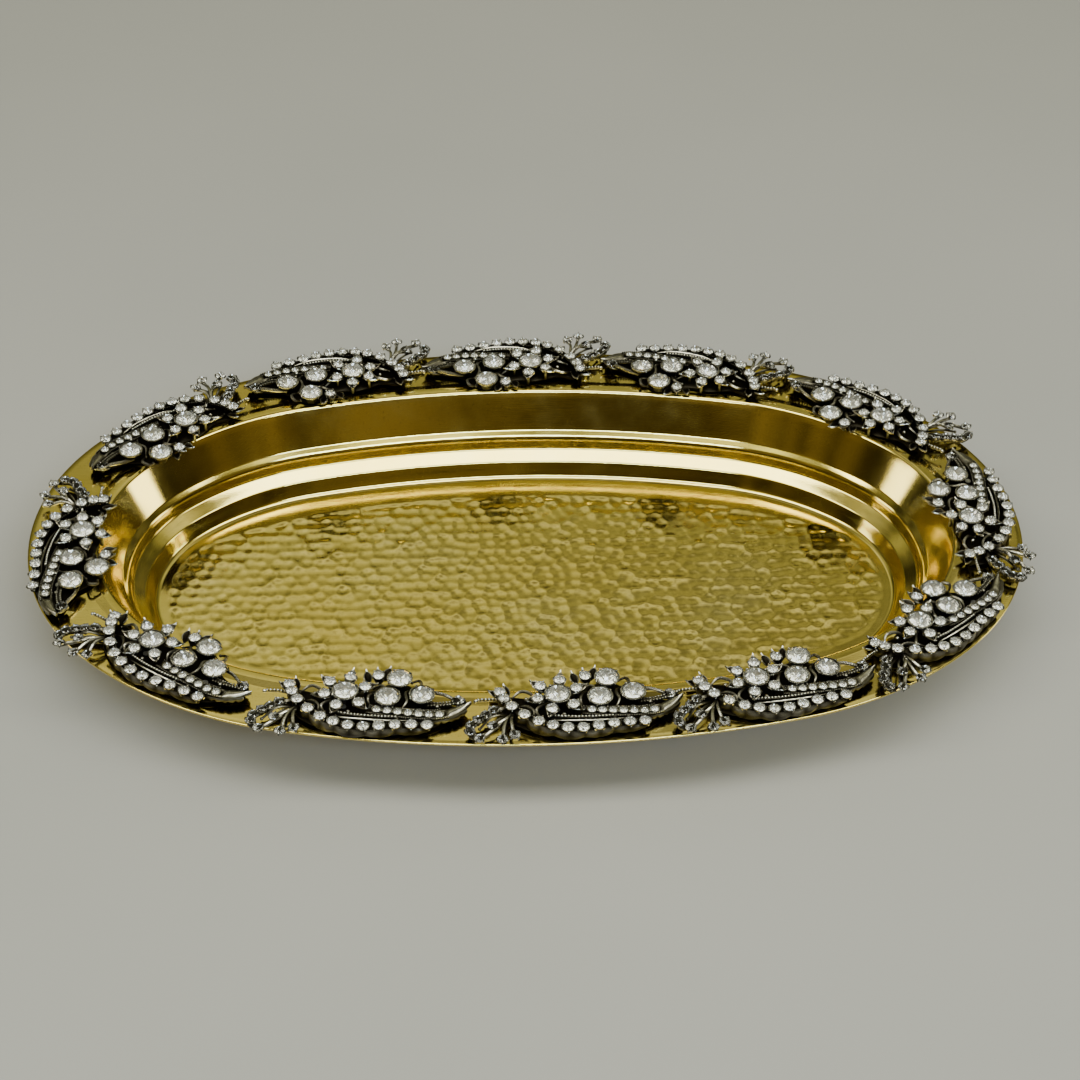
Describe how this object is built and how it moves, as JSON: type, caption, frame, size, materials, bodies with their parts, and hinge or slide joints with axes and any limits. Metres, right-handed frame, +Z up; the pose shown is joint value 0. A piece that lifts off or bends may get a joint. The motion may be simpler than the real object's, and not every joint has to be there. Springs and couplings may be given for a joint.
{
  "type": "oval brass tray",
  "caption": "Oval serving tray of polished brass sheet with a hammered floor, stepped wall and broad rim set with openwork silver castings and clear crystals.",
  "frame": {"origin": "on the table plane, under the centre of the whole object's box", "axes": "+X along the tray's length, +Y across it, +Z up"},
  "size_m": [0.45, 0.2814, 0.0472],
  "materials": {
    "brass_sheet": "polished, with a hammered floor",
    "antique_silver": "antiqued silver plate, bright on the high spots and near black in the recesses",
    "crystal": "clear cut glass with a foiled back",
    "screw_steel": "plain zinc plated"
  },
  "bodies": {
    "root": {"tray_pan": "brass_sheet", "ornament_casting_01": "antique_silver", "ornament_casting_02": "antique_silver", "ornament_casting_03": "antique_silver", "ornament_casting_04": "antique_silver", "ornament_casting_05": "antique_silver", "ornament_casting_06": "antique_silver", "ornament_casting_07": "antique_silver", "ornament_casting_08": "antique_silver", "ornament_casting_09": "antique_silver", "ornament_casting_10": "antique_silver", "ornament_casting_11": "antique_silver", "ornament_casting_12": "antique_silver", "crystals_large_01": "crystal", "crystals_large_02": "crystal", "crystals_large_03": "crystal", "crystals_large_04": "crystal", "crystals_large_05": "crystal", "crystals_large_06": "crystal", "crystals_large_07": "crystal", "crystals_large_08": "crystal", "crystals_large_09": "crystal", "crystals_large_10": "crystal", "crystals_large_11": "crystal", "crystals_large_12": "crystal", "crystals_small_01": "crystal", "crystals_small_02": "crystal", "crystals_small_03": "crystal", "crystals_small_04": "crystal", "crystals_small_05": "crystal", "crystals_small_06": "crystal", "crystals_small_07": "crystal", "crystals_small_08": "crystal", "crystals_small_09": "crystal", "crystals_small_10": "crystal", "crystals_small_11": "crystal", "crystals_small_12": "crystal", "crystals_pave_01": "crystal", "crystals_pave_02": "crystal", "crystals_pave_03": "crystal", "crystals_pave_04": "crystal", "crystals_pave_05": "crystal", "crystals_pave_06": "crystal", "crystals_pave_07": "crystal", "crystals_pave_08": "crystal", "crystals_pave_09": "crystal", "crystals_pave_10": "crystal", "crystals_pave_11": "crystal", "crystals_pave_12": "crystal", "ornament_screws": "screw_steel"}
  },
  "joints": []
}
